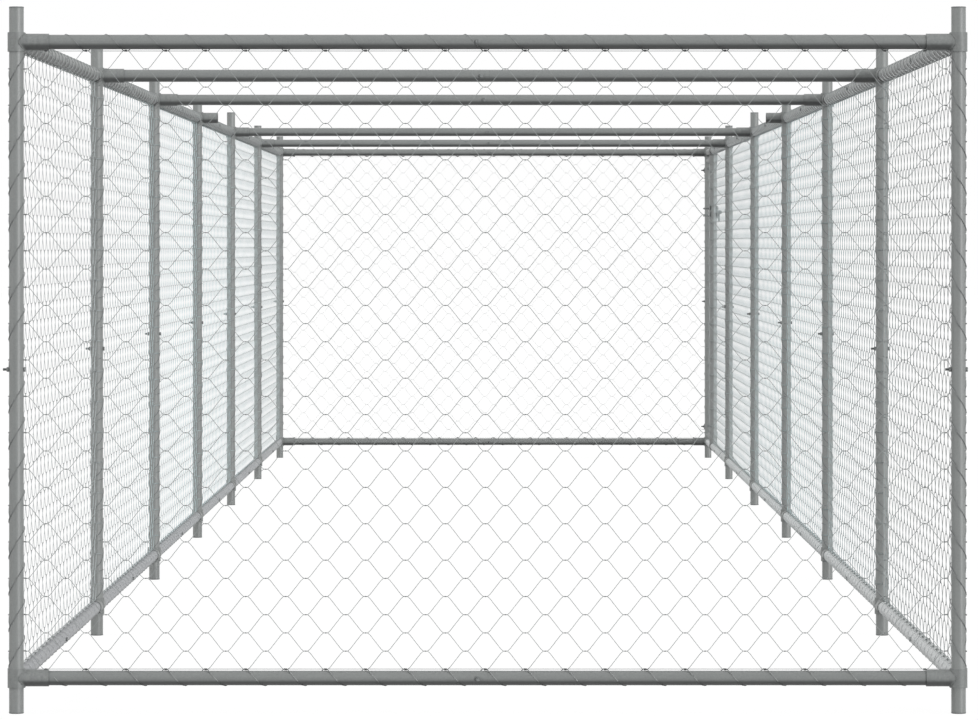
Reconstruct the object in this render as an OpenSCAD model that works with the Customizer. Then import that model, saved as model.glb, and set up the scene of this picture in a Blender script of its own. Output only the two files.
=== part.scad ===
// Outdoor dog kennel run: a long cage of galvanised tube, slip-on fittings and
// chain-link mesh, with a narrow gate in one long wall beside its far corner.
// X runs across the run, Y along it, Z up. The origin is on the ground at the middle of the footprint.

/* [Run] */
// Width between the post axes of the two long walls
run_w = 2000; // [1600:50:2400]
// Length of one bay between post axes
bay_l = 2000; // [1600:50:2400]
// Height of a post
post_h = 1500; // [1400:10:1800]
// Height of a rail axis above the post's foot, and below its top
rail_inset = 75; // [60:1:100]

/* [Tube] */
// Outside diameter of every post and rail
tube_od = 31; // [28:0.5:34]
// Wall of every tube
tube_wall = 1.2; // [0.8:0.1:2]
// Length of the drawn-down end that slips into the next tube
spigot_l = 45; // [35:1:60]
// Radial clearance of a drawn-down end in its tube
spigot_gap = 0.15; // [0.1:0.05:0.3]
// Gap between the two tubes at their seam
seam_gap = 0.2; // [0.1:0.1:0.5]

/* [Caps] */
// Thickness of the flange that closes a post's end
cap_t = 3; // [2:0.5:6]
// Overhang of that flange past the tube
cap_rim = 0.3; // [0:0.1:1]
// Bevel round the flange's outer edge
cap_bevel = 0.8; // [0.4:0.1:1.5]
// Depth of the plug that holds a cap in the post
cap_plug_l = 16; // [8:1:25]
// Wall of that plug
cap_plug_wall = 1.6; // [1:0.1:3]
// Radial clearance of the plug in the post
cap_gap = 0.2; // [0.1:0.05:0.4]

/* [Fittings] */
// Wall of the sleeve that a post passes through
sleeve_wall = 3; // [2.6:0.1:3.5]
// Length of that sleeve along the post
sleeve_l = 41; // [40:1:60]
// Wall of a socket
socket_wall = 2; // [1.2:0.1:2.2]
// Reach of a socket from the post axis
socket_reach = 69; // [50:1:90]
// Radial clearance between a tube and its sleeve or socket
socket_gap = 0.3; // [0.2:0.05:0.4]
// Gap between a rail's end and the bottom of its socket
rail_end_gap = 0.5; // [0.2:0.1:2]

/* [Bolts] */
// Diameter of a frame bolt
bolt_d = 6; // [5:0.5:8]
// Width across the flats of its head and nut
bolt_flats = 10; // [8:0.5:12]
// Thickness of its head
bolt_head_t = 4; // [3:0.5:6]
// Thickness of its nut
bolt_nut_t = 5; // [4:0.5:7]
// Length of thread past the nut
bolt_tail = 8; // [3:1:12]
// Radial clearance of a bolt in its hole
hole_gap = 0.3; // [0.2:0.05:0.6]
// Radial clearance of a thread in its nut
thread_gap = 0.05; // [0.02:0.01:0.1]
// Gap under a head or nut
seat_gap = 0.1; // [0.05:0.05:0.3]
// Distance of a joint's bolt from the seam of its two tubes
bolt_setback = 20; // [12:1:28]

/* [Mesh] */
// Width of one gap in the mesh
mesh_gap_w = 84.8; // [60:0.1:100]
// Height of one gap in the mesh
mesh_gap_h = 77; // [55:0.5:95]
// Real gaps that one modelled gap stands for, in each direction
mesh_thinning = 3; // [3:1:5]
// Width of the flat hook where two wires interlock
knot_w = 12; // [8:0.5:16]
// Width of a strand, and of the edge strand round a panel
strand_w = 3; // [2:0.5:4]
// Thickness of a mesh panel
mesh_t = 2.5; // [2:0.5:4]
// Gap between a panel's edge and what holds it
mesh_seat = 0.3; // [0.2:0.05:0.5]
// Room round a bolt where a panel is cut for it
relief = 2; // [1:0.5:4]

/* [Gate] */
// Distance between the axes of the gate post and the corner post
gate_w = 550; // [480:5:700]
// Distance from the gate post's axis to the leaf's latch stile
latch_gap = 44; // [44:1:50]
// Distance from the corner post's axis to the leaf's hinge stile
hinge_gap = 72; // [72:1:84]
// Height of the leaf's foot above the rail axis below it
leaf_lift = 23; // [23:1:40]
// Outside diameter of the leaf's own top and bottom rails
leaf_rail_od = 25; // [20:0.5:27]

/* [Hinges] */
// Height of a hinge eye above the leaf's foot, and below its top
hinge_inset = 54; // [54:1:120]
// Wall of the clamp round the corner post
clamp_wall = 3; // [2:0.5:4]
// Length of that clamp along the post
clamp_l = 24; // [20:1:30]
// Thickness of the lug that carries a hinge pin
lug_t = 12; // [8:1:14]
// Width of that lug
lug_w = 16; // [12:1:17]
// Diameter of a hinge pin
pin_d = 10; // [8:0.5:11]
// Diameter of the head under a hinge pin
pin_head_d = 15; // [13:0.5:18]
// Thickness of that head
pin_head_t = 3; // [2:0.5:5]
// Length of a hinge pin above its eye
pin_proud = 4; // [2:0.5:10]
// Radial clearance of a pin in its eye
pin_gap = 0.08; // [0.04:0.01:0.1]
// Outside diameter of a hinge eye and of the lug's nose
eye_od = 20; // [17:0.5:21]
// Height of a hinge eye
eye_t = 12; // [10:0.5:16]
// Gap between an eye and the lug that it rests on
eye_gap = 0.3; // [0.2:0.1:1]
// Diameter of an eye bolt's shank
shank_d = 8; // [6:0.5:9]
// Width across the flats of its nuts
shank_flats = 13; // [11:0.5:14]
// Thickness of those nuts
shank_nut_t = 6.5; // [5:0.5:7]
// Length of its thread past the outer nut
shank_tail = 6; // [2:1:12]

/* [Latch] */
// Height of the slide bolt's axis
latch_z = 1142.5; // [900:0.5:1200]
// Diameter of the slide bolt
slide_d = 10; // [8:0.5:12]
// Throw of the slide bolt
throw = 36; // [30:1:36]
// Radial clearance of the slide bolt in its guides
slide_gap = 0.1; // [0.05:0.01:0.1]
// Radial clearance of the slide bolt in the keeper
keeper_gap = 0.5; // [0.3:0.1:1]
// Thickness of the latch, keeper and stop plates
plate_t = 4; // [3:0.5:5]
// Gap between a plate and the tube that it is fixed to
plate_gap = 0.3; // [0.1:0.1:0.5]
// Length of the latch plate
plate_l = 68; // [68:1:70]
// Width of the latch plate
plate_w = 26; // [22:1:40]
// Length of one guide along the slide bolt
guide_l = 8; // [6:0.5:9]
// Outside diameter of a guide
guide_od = 18; // [16:0.5:20]
// Diameter of the slide bolt's handle
handle_d = 8; // [6:0.5:9]
// Length of that handle below the bolt's axis
handle_l = 38; // [28:1:60]
// Distance of the bolt's tip inside its first guide when it is drawn back
tip_setback = 2; // [1:0.5:4]
// Reach of the keeper and stop plates past the gate post's axis, away from the leaf
keeper_reach = 14; // [10:1:20]
// Gap between the keeper and the latch plate
keeper_clear = 1.5; // [1:0.5:3]
// Height of the keeper and stop plates
keeper_h = 56; // [50:1:80]
// Distance between the keeper's two bolts
keeper_pitch = 33; // [32:1:40]
// Reach of those bolts from the gate post's axis into the run
keeper_bolt_reach = 47; // [36:1:60]

/* [Hidden] */
$fn = 48;
zinc = "#8b8d8c";
zinc_dark = "#737675";
zinc_bright = "#a3a6a5";
cap_grey = "#6e7070";
cut = 1;                // overrun of a cutting tool past a face
bay_count = 6;
posts = [0 : bay_count];
bays = [0 : bay_count - 1];
spare_post = 3;         // the post whose cross-rail socket is left empty
cross_posts = [1, 2, 4, 5];
left = -1;
right = 1;
sides = [left, right];

tube_r = tube_od / 2;
tube_id = tube_od - 2 * tube_wall;
spigot_od = tube_id - 2 * spigot_gap;
fit_r = tube_r + socket_gap;
sleeve_r = fit_r + sleeve_wall;
socket_r = fit_r + socket_wall;
rail_end = sleeve_r + rail_end_gap;
post_end = cap_t + seat_gap;
rail_z = [rail_inset, post_h - rail_inset];
bolt_z = post_h / 2 - bolt_setback;
mesh_inset = sleeve_r + mesh_seat;
bolt_reach = tube_r + seat_gap + max(bolt_head_t, bolt_nut_t + bolt_tail);

corner_y = bay_count / 2 * bay_l;
gate_post_y = corner_y - gate_w;
latch_y = gate_post_y + latch_gap;
stile_y = corner_y - hinge_gap;
pin_y = corner_y - hinge_gap / 2;
leaf_z = [rail_z[0] + leaf_lift, rail_z[1] - leaf_lift];
leaf_rail_z = [leaf_z[0] + tube_r, leaf_z[1] - tube_r];
hinge_z = [leaf_z[0] + hinge_inset, leaf_z[1] - hinge_inset];
clamp_r = fit_r + clamp_wall;
lug_top = -eye_t / 2 - eye_gap;        // below the hinge eye's middle
clamp_bolt_drop = lug_top + clamp_l / 2 - lug_t;

plate_x = tube_r + plate_gap;          // inner face of the latch and keeper plates
slide_x = plate_x + plate_t + guide_od / 2;
keeper_y = [gate_post_y - keeper_reach, latch_y - plate_l / 2 - keeper_clear];
handle_y = throw / 2;

function post_x(side) = side * run_w / 2;
function post_y(i) = i * bay_l - corner_y;
function is_end(i) = i == 0 || i == bay_count;

// Turns what stands along +Z to lie along +Y or +X
module along_y() rotate([-90, 0, 0]) children();
module along_x() rotate([0, 90, 0]) children();

// Six-sided bar along +X
module hex_bar(flats, length)
    along_x() cylinder(d = flats / cos(30), h = length, $fn = 6);

// Bolt hole across a tube, along X
module cross_hole(d = bolt_d)
    along_x() cylinder(d = d + 2 * hole_gap, h = 2 * clamp_r + 2 * cut, center = true);

// Open tube along +Z
module tube(length)
    difference() {
        cylinder(d = tube_od, h = length);
        translate([0, 0, -cut]) cylinder(d = tube_id, h = length + 2 * cut);
    }

// Two tubes in line along +Z: the second has a drawn-down end that slips into the first
module joined_tubes(length) {
    seam = length / 2;
    difference() {
        tube(seam);
        translate([0, 0, seam - bolt_setback]) cross_hole();
    }
    translate([0, 0, seam]) difference() {
        union() {
            translate([0, 0, seam_gap]) cylinder(d = tube_od, h = length - seam - seam_gap);
            translate([0, 0, -spigot_l]) cylinder(d = spigot_od, h = spigot_l + seam_gap + cut);
        }
        translate([0, 0, -spigot_l - cut])
            cylinder(d = spigot_od - 2 * tube_wall, h = spigot_l + 2 * cut + tube_wall);
        translate([0, 0, seam_gap + tube_wall]) cylinder(d = tube_id, h = length);
        translate([0, 0, -bolt_setback]) cross_hole();
    }
}

// Bolt along X through something of the given thickness, with its head at +X
module through_bolt(grip, length)
    translate([grip / 2 + seat_gap, 0, 0]) {
        hex_bar(bolt_flats, bolt_head_t);
        along_x() translate([0, 0, -length]) cylinder(d = bolt_d, h = length + cut);
    }

// Nut of that bolt, at -X
module through_nut(grip)
    translate([-grip / 2 - seat_gap - bolt_nut_t, 0, 0]) difference() {
        hex_bar(bolt_flats, bolt_nut_t);
        translate([-cut, 0, 0]) along_x()
            cylinder(d = bolt_d + 2 * thread_gap, h = bolt_nut_t + 2 * cut);
    }

// Places a child at each tube joint, with +X the way that the bolt's head points
module at_tube_joints() {
    for (side = sides, i = posts) translate([post_x(side), post_y(i), bolt_z]) children();
    for (side = sides, i = bays, z = rail_z)
        translate([post_x(side), post_y(i) + bay_l / 2 - bolt_setback, z])
            rotate(side == left ? 0 : 180) children();
    for (i = posts, z = rail_z)
        if (is_end(i) || (z == rail_z[1] && i != spare_post))
            translate([-bolt_setback, post_y(i), z]) rotate(-90) children();
}

module frame_bolts() color(zinc_dark) at_tube_joints()
    through_bolt(tube_od, tube_od + 2 * seat_gap + bolt_nut_t + bolt_tail);

module frame_nuts() color(zinc_dark) {
    at_tube_joints() through_nut(tube_od);
    at_hinges() translate([0, hinge_gap / 2, clamp_bolt_drop]) through_nut(2 * clamp_r);
    at_keeper_bolts() through_nut(2 * (plate_x + plate_t));
}

// Post of two tubes; the corner post of the gate is drilled for its hinge clamps
module post(side, i)
    color(zinc) translate([post_x(side), post_y(i), 0]) difference() {
        translate([0, 0, post_end]) joined_tubes(post_h - 2 * post_end);
        if (side == right && i == bay_count)
            for (z = hinge_z) translate([0, 0, z + clamp_bolt_drop]) cross_hole();
    }

// Cap standing on its bevelled flange, with a hollow plug that goes up into a post
module cap() {
    rim_r = tube_r + cap_rim;
    plug_r = tube_id / 2 - cap_gap;
    rotate_extrude() polygon([
        [0, 0], [rim_r - cap_bevel, 0], [rim_r, cap_bevel], [rim_r, cap_t], [plug_r, cap_t],
        [plug_r, cap_t + cap_plug_l], [plug_r - cap_plug_wall, cap_t + cap_plug_l],
        [plug_r - cap_plug_wall, cap_t], [0, cap_t]]);
}

module post_caps()
    color(cap_grey) for (side = sides, i = posts) translate([post_x(side), post_y(i), 0]) {
        cap();
        translate([0, 0, post_h]) mirror([0, 0, 1]) cap();
    }

// All rails of one long wall at one height
module side_rails(side, z)
    color(zinc) for (i = bays)
        translate([post_x(side), post_y(i) + rail_end, z]) along_y()
            joined_tubes(bay_l - 2 * rail_end);

// One rail across the run at post i
module cross_rail(i, z)
    color(zinc) translate([post_x(left) + rail_end, post_y(i), z]) along_x() rotate(90)
        joined_tubes(run_w - 2 * rail_end);

module end_rails(i) for (z = rail_z) cross_rail(i, z);

// Fitting: a sleeve along Z with a blind socket at each of the given turns about Z
module fitting(turns)
    color(zinc) difference() {
        union() {
            cylinder(r = sleeve_r, h = sleeve_l, center = true);
            for (turn = turns) rotate(turn) along_x() cylinder(r = socket_r, h = socket_reach);
        }
        cylinder(r = fit_r, h = sleeve_l + 2 * cut, center = true);
        for (turn = turns) rotate(turn) translate([sleeve_r, 0, 0]) along_x()
            cylinder(r = fit_r, h = socket_reach);
    }

function inward(side) = side == left ? 0 : 180;

module corner_fittings()
    for (side = sides, i = [0, bay_count], z = rail_z)
        translate([post_x(side), post_y(i), z]) fitting([inward(side), i == 0 ? 90 : -90]);

// Fittings of three sockets under the given cross rails
module top_fittings(at)
    for (side = sides, i = at)
        translate([post_x(side), post_y(i), rail_z[1]]) fitting([inward(side), 90, -90]);

// Fittings of two sockets in line, at the foot of each post between the corners
module side_fittings()
    for (side = sides, i = posts) if (!is_end(i))
        translate([post_x(side), post_y(i), rail_z[0]]) fitting([90, -90]);

// Tees that slide along a rail and hold the gate post between them
module gate_post_fittings()
    for (k = [0, 1])
        translate([post_x(right), gate_post_y, rail_z[k]]) rotate([90, 0, 0])
            fitting([k == 0 ? 90 : -90]);

// Outline of one gap about its middle: a flat hook above and below, a point at each side
function gap_outline(w, h) = let (
    slope = atan2(h / 2, w / 2 - knot_w),
    half_strand = strand_w / 2 / sin(slope),
    side = w / 2 - knot_w / 2 - half_strand,
    flat_y = h / 2 - strand_w / 2,
    flat_x = knot_w / 2 - half_strand + strand_w / 2 / tan(slope)
) [[side, 0], [flat_x, flat_y], [-flat_x, flat_y], [-side, 0], [-flat_x, -flat_y], [flat_x, -flat_y]];

// The upper half of a gap, cut off along an edge strand below
function upper_half(gap) = let (
    rise = strand_w / gap[1][1],
    foot = gap[0][0] + rise * (gap[1][0] - gap[0][0])
) [[foot, strand_w], gap[1], gap[2], [-foot, strand_w]];

// The right half of a gap, cut off along an edge strand at its left
function right_half(gap) = [[strand_w, -gap[1][1]], gap[5], gap[0], gap[1], [strand_w, gap[1][1]]];

// Flat chain-link panel in the XY plane: rows of gaps, each row shifted by half a gap from the last
module mesh_panel(span, rise) {
    columns = max(1, round(span / (mesh_gap_w * mesh_thinning)));
    rows = max(1, round(rise / (mesh_gap_h * mesh_thinning)));
    w = span / columns;
    h = rise / rows;
    gap = gap_outline(w, h);
    linear_extrude(mesh_t, center = true) difference() {
        square([span, rise], center = true);
        translate([-span / 2, -rise / 2]) {
            for (c = [1 : columns], r = [1 : rows - 1])
                translate([(c - 0.5) * w, r * h]) polygon(gap);
            for (c = [1 : columns - 1], r = [1 : rows])
                translate([c * w, (r - 0.5) * h]) polygon(gap);
            for (c = [1 : columns]) {
                translate([(c - 0.5) * w, 0]) polygon(upper_half(gap));
                translate([(c - 0.5) * w, rise]) mirror([0, 1]) polygon(upper_half(gap));
            }
            for (r = [1 : rows]) {
                translate([0, (r - 0.5) * h]) polygon(right_half(gap));
                translate([span, (r - 0.5) * h]) mirror([1, 0]) polygon(right_half(gap));
            }
        }
    }
}

// Stands a panel between the two rails, along X or along Y
module wall_panel(span)
    translate([0, 0, post_h / 2]) rotate([90, 0, 0])
        mesh_panel(span - 2 * mesh_inset, rail_z[1] - rail_z[0] - 2 * mesh_inset);

// Mesh of one end, cut clear of the bolts through the corner posts
module end_mesh(i)
    color(zinc_bright) translate([0, post_y(i), 0]) difference() {
        wall_panel(run_w);
        for (side = sides) translate([post_x(side), 0, bolt_z]) along_x()
            cylinder(d = bolt_flats + 2 * relief, h = 2 * (bolt_reach + relief), center = true);
        if (i == bay_count) for (z = hinge_z)
            translate([post_x(right), 0, z + clamp_bolt_drop])
                cube([2 * (clamp_r - tube_r + bolt_reach + relief), tube_od,
                      clamp_l + 2 * relief], center = true);
    }

// Mesh of one bay of a long wall; the right wall's last panel ends at the gate post
module side_mesh(side, i) {
    span = side == right && i == bay_count - 1 ? bay_l - gate_w : bay_l;
    color(zinc_bright) translate([post_x(side), post_y(i) + span / 2, 0]) rotate(90)
        wall_panel(span);
}

// Places a child at each hinge eye, or at each keeper bolt
module at_hinges() for (z = hinge_z) translate([post_x(right), pin_y, z]) children();
module at_keeper_bolts()
    for (k = [-1, 1])
        translate([post_x(right), gate_post_y, latch_z + k * keeper_pitch / 2]) children();

// Gate post between the two rails, drilled for the keeper's bolts
module gate_post()
    color(zinc) difference() {
        translate([post_x(right), gate_post_y, rail_z[0] + rail_end])
            tube(rail_z[1] - rail_z[0] - 2 * rail_end);
        at_keeper_bolts() cross_hole();
    }

// Welded frame of the gate leaf: two stiles with a lighter rail between them at each end
module gate_frame() {
    stile_h = leaf_z[1] - leaf_z[0];
    span = stile_y - latch_y;
    color(zinc) difference() {
        translate([post_x(right), latch_y, 0]) difference() {
            union() {
                for (y = [0, span]) translate([0, y, leaf_z[0]]) cylinder(d = tube_od, h = stile_h);
                for (z = leaf_rail_z) translate([0, 0, z]) along_y()
                    cylinder(d = leaf_rail_od, h = span);
            }
            for (y = [0, span]) translate([0, y, leaf_z[0] - cut])
                cylinder(d = tube_id, h = stile_h + 2 * cut);
            for (z = leaf_rail_z) translate([0, 0, z]) along_y()
                cylinder(d = leaf_rail_od - 2 * tube_wall, h = span);
        }
        at_hinges() translate([0, -hinge_gap / 2, 0]) rotate(90) cross_hole(shank_d);
    }
}

// Mesh of the gate leaf, cut clear of the eye bolts' ends
module gate_mesh() {
    span = stile_y - latch_y - tube_od - 2 * mesh_seat;
    rise = leaf_rail_z[1] - leaf_rail_z[0] - leaf_rail_od - 2 * mesh_seat;
    shank_end = tube_r + seat_gap + shank_nut_t + shank_tail;
    color(zinc_bright) difference() {
        translate([post_x(right), (stile_y + latch_y) / 2, post_h / 2]) rotate([90, 0, 90])
            mesh_panel(span, rise);
        at_hinges() translate([0, -hinge_gap / 2, 0]) rotate([90, 0, 0])
            cylinder(d = shank_flats + 2 * relief, h = shank_end + relief);
    }
}

// Clamps round the corner post, each with a lug that carries a pin
module hinge_clamps()
    color(zinc) at_hinges() translate([0, 0, lug_top - lug_t]) difference() {
        union() {
            translate([0, hinge_gap / 2, 0]) cylinder(r = clamp_r, h = clamp_l);
            cylinder(d = eye_od, h = lug_t);
            translate([-lug_w / 2, 0, 0]) cube([lug_w, hinge_gap / 2, lug_t]);
        }
        translate([0, hinge_gap / 2, -cut]) cylinder(r = fit_r, h = clamp_l + 2 * cut);
        translate([0, 0, -cut]) cylinder(d = pin_d + 2 * thread_gap, h = lug_t + 2 * cut);
        translate([0, hinge_gap / 2, clamp_l / 2]) cross_hole();
    }

module hinge_clamp_bolts()
    color(zinc_dark) at_hinges() translate([0, hinge_gap / 2, clamp_bolt_drop])
        through_bolt(2 * clamp_r, 2 * clamp_r + 2 * seat_gap + bolt_nut_t + bolt_tail);

// Pins with a head under the lug, standing up through the eyes
module hinge_pins()
    color(zinc_dark) at_hinges() translate([0, 0, lug_top - lug_t - seat_gap]) {
        cylinder(d = pin_d, h = seat_gap + lug_t + eye_gap + eye_t + pin_proud);
        translate([0, 0, -pin_head_t]) cylinder(d = pin_head_d, h = pin_head_t + seat_gap / 2);
    }

// Eye bolts through the hinge stile
module hinge_eye_bolts()
    color(zinc_dark) at_hinges() {
        shank_l = hinge_gap / 2 + tube_r + seat_gap + shank_nut_t + shank_tail;
        difference() {
            union() {
                cylinder(d = eye_od, h = eye_t, center = true);
                rotate([90, 0, 0]) cylinder(d = shank_d, h = shank_l);
            }
            cylinder(d = pin_d + 2 * pin_gap, h = eye_t + 2 * cut, center = true);
        }
    }

// A nut on each side of the stile
module hinge_eye_nuts()
    color(zinc_dark) at_hinges() translate([0, -hinge_gap / 2, 0])
        for (y = [tube_r + seat_gap, -tube_r - seat_gap - shank_nut_t])
            translate([0, y, 0]) rotate(90) difference() {
                hex_bar(shank_flats, shank_nut_t);
                translate([-cut, 0, 0]) along_x()
                    cylinder(d = shank_d + 2 * thread_gap, h = shank_nut_t + 2 * cut);
            }

// Guide along Y: a round eye on a foot that stands on a plate at -X
module guide(bore_d, length)
    difference() {
        union() {
            along_y() cylinder(d = guide_od, h = length);
            translate([-guide_od / 2 - cut, 0, -guide_od / 2])
                cube([guide_od / 2 + cut, length, guide_od]);
        }
        translate([0, -cut, 0]) along_y() cylinder(d = bore_d, h = length + 2 * cut);
    }

// Plate on the latch stile with a guide at each end
module latch_body()
    color(zinc) translate([post_x(right), latch_y, latch_z]) {
        translate([plate_x, -plate_l / 2, -plate_w / 2]) cube([plate_t, plate_l, plate_w]);
        for (y = [-plate_l / 2, plate_l / 2 - guide_l])
            translate([slide_x, y, 0]) guide(slide_d + 2 * slide_gap, guide_l);
    }

// Slide bolt drawn back, with its handle hanging from it
module latch_bolt()
    color(zinc_dark) translate([post_x(right) + slide_x, latch_y, latch_z]) {
        translate([0, -plate_l / 2 + tip_setback, 0]) along_y() cylinder(d = slide_d, h = plate_l + throw);
        translate([0, handle_y, -handle_l]) {
            cylinder(d = handle_d, h = handle_l);
            sphere(d = handle_d);
        }
    }

// Keeper on the outside of the gate post, and the stop plate on its inside
module latch_keeper()
    color(zinc) translate([post_x(right), 0, latch_z]) difference() {
        union() {
            translate([plate_x, keeper_y[0], -keeper_h / 2])
                cube([plate_t, keeper_y[1] - keeper_y[0], keeper_h]);
            translate([slide_x, keeper_y[0], 0])
                guide(slide_d + 2 * keeper_gap, keeper_y[1] - keeper_y[0]);
        }
        translate([0, 0, -latch_z]) keeper_holes();
    }

module gate_stop()
    color(zinc) difference() {
        translate([post_x(right) - plate_x - plate_t, keeper_y[0], latch_z - keeper_h / 2])
            cube([plate_t, latch_y + tube_r - keeper_y[0], keeper_h]);
        translate([post_x(right), 0, 0]) keeper_holes();
    }

// The keeper's two bolt holes, along X about the gate post's plane
module keeper_holes()
    for (k = [-1, 1]) translate([0, gate_post_y, latch_z + k * keeper_pitch / 2])
        along_x() cylinder(d = bolt_d + 2 * hole_gap, h = 4 * slide_x, center = true);

module keeper_bolts()
    color(zinc_dark) at_keeper_bolts()
        through_bolt(2 * (plate_x + plate_t), plate_x + plate_t + seat_gap + keeper_bolt_reach);

for (i = posts) post(left, i);
for (i = posts) post(right, i);
post_caps();
side_rails(left, rail_z[1]);  // left_top_rails
side_rails(left, rail_z[0]);  // left_bottom_rails
side_rails(right, rail_z[1]);  // right_top_rails
side_rails(right, rail_z[0]);  // right_bottom_rails
end_rails(0);  // front_rails
end_rails(bay_count);  // back_rails
for (i = cross_posts) cross_rail(i, rail_z[1]);
corner_fittings();
top_fittings(cross_posts);  // cross_rail_fittings
top_fittings([spare_post]);  // spare_fittings
side_fittings();
gate_post_fittings();
frame_bolts();
frame_nuts();
end_mesh(0);  // front_mesh
end_mesh(bay_count);  // back_mesh
for (i = bays) side_mesh(left, i);
for (i = bays) side_mesh(right, i);
gate_post();
gate_frame();
gate_mesh();
hinge_clamps();
hinge_clamp_bolts();
hinge_pins();
hinge_eye_bolts();
hinge_eye_nuts();
latch_body();
latch_bolt();
latch_keeper();
gate_stop();
keeper_bolts();
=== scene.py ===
"""Outdoor dog kennel run: chain-link panels, welds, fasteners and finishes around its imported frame.

Sizes are in metres. X runs across the run, Y along it and Z up, as in the frame.
"""

from __future__ import annotations

import logging
import math
from dataclasses import dataclass
from enum import Enum

import bpy
import numpy as np
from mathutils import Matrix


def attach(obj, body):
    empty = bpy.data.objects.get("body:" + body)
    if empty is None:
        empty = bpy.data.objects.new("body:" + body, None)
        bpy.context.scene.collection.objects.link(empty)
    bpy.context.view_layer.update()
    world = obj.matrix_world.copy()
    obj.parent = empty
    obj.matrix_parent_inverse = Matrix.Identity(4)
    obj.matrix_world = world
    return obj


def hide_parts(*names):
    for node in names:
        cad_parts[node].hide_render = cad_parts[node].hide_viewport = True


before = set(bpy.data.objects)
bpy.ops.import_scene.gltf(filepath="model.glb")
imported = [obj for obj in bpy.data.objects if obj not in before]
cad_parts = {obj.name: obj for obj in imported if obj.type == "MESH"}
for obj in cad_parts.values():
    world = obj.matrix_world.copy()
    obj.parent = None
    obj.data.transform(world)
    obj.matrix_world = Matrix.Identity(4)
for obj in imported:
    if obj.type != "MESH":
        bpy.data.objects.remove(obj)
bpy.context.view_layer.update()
LOG = logging.getLogger("kennel_run")
Vector = tuple[float, float, float]
Spans = tuple[tuple[float, float], ...]

MM = 0.001
TURN = 2 * math.pi
UP = np.array([0.0, 0.0, 1.0])
BAKE_MAP = "OFBake"  # the texture map for baking that a piece may bring

# Sizes and places of the frame's tubes and joints
BAY = 2.0
HALF_WIDTH = 1.0
BAYS = 6
TUBE_R = 15.5 * MM
SLEEVE_R = 18.8 * MM
SOCKET_R = 17.8 * MM
RAIL_Z = (75 * MM, 1425 * MM)
POST_Y = np.arange(BAYS + 1) * BAY - BAYS * BAY / 2
POST_JOINT_Z = 730 * MM
RAIL_JOINT = 980 * MM
CROSS_JOINT_X = -20 * MM
GATE_POST_Y = 5.45
LATCH_STILE_Y = 5.494
HINGE_STILE_Y = 5.928
LEAF_RAIL_R = 12.5 * MM
LEAF_RAIL_Z = (113.5 * MM, 1386.5 * MM)
HINGE_Z = (152 * MM, 1348 * MM)
LATCH_Z = 1142.5 * MM

# Painted shade on the rails' undersides: its colour, the depths below a rail's axis over which it comes
# in, and the distances above and below the axis over which it ends
UNDER_SHADE = "#2e3030"
UNDER_SHADE_DEPTH = (1.5 * MM, 9 * MM)
UNDER_SHADE_END = (22 * MM, 26 * MM)

# Places of a strand's points between two columns of hooks, and of a wrapped end's points on its turn
STRAND = np.array([0.0, 0.11, 0.23, 0.77, 0.89])
END_TURN = np.array([0.06, 0.14, 0.26, 0.4, 0.55, 0.7, 0.8, 0.9, 1.0])


class Axis(Enum):
    """Direction that a tube or panel runs in, by its place among the coordinates."""

    X = 0
    Y = 1
    Z = 2


class Body(Enum):
    """Bodies that the new pieces ride on."""

    FRAME = "frame"
    GATE = "gate"


class Slot(Enum):
    """Names of material slots."""

    TUBE = "tube_zinc"
    FITTING = "fitting_zinc"
    WIRE = "mesh_wire"
    FASTENER = "fastener_zinc"


def linear(shade: str) -> tuple[float, float, float, float]:
    """Turns a screen colour such as "#8b8d8c" into linear light.

    Args:
        shade: Six hexadecimal digits after a hash sign.

    Returns:
        Red, green, blue and an alpha of 1.
    """
    screen = np.array([int(shade[i : i + 2], 16) for i in (1, 3, 5)]) / 255
    light = np.where(screen <= 0.04045, screen / 12.92, ((screen + 0.055) / 1.055) ** 2.4)
    return (*(float(v) for v in light), 1.0)


class Term:
    """Socket of a node tree that takes part in Python arithmetic."""

    def __init__(self, graph: Graph, socket: bpy.types.NodeSocket) -> None:
        """Keeps the socket and the graph that it belongs to."""
        self.graph = graph
        self.socket = socket

    def _math(self, operation: str, *values: Term | float) -> Term:
        """Adds one Math node on the given values."""
        return self.graph.node("ShaderNodeMath", {"operation": operation}, dict(enumerate(values)))

    def __add__(self, other: Term | float) -> Term:
        """Sum."""
        return self._math("ADD", self, other)

    def __radd__(self, other: float) -> Term:
        """Sum with a number in front."""
        return self._math("ADD", other, self)

    def __sub__(self, other: Term | float) -> Term:
        """Difference."""
        return self._math("SUBTRACT", self, other)

    def __rsub__(self, other: float) -> Term:
        """Difference from a number."""
        return self._math("SUBTRACT", other, self)

    def __mul__(self, other: Term | float) -> Term:
        """Product."""
        return self._math("MULTIPLY", self, other)

    def __rmul__(self, other: float) -> Term:
        """Product with a number in front."""
        return self._math("MULTIPLY", other, self)

    def __abs__(self) -> Term:
        """Size without sign."""
        return self._math("ABSOLUTE", self)

    def root(self) -> Term:
        """Square root."""
        return self._math("SQRT", self)

    def most(self, other: Term | float) -> Term:
        """Larger of two values."""
        return self._math("MAXIMUM", self, other)

    def repeat(self, length: float) -> Term:
        """Distance from the nearest whole multiple of a length, with its sign."""
        return self._math("WRAP", self, -length / 2, length / 2)

    def ramp(self, low: float, high: float) -> Term:
        """Smooth rise from 0 at low to 1 at high."""
        sockets = {"Value": self, "From Min": low, "From Max": high}
        return self.graph.node("ShaderNodeMapRange", {"interpolation_type": "SMOOTHSTEP"}, sockets)


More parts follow.
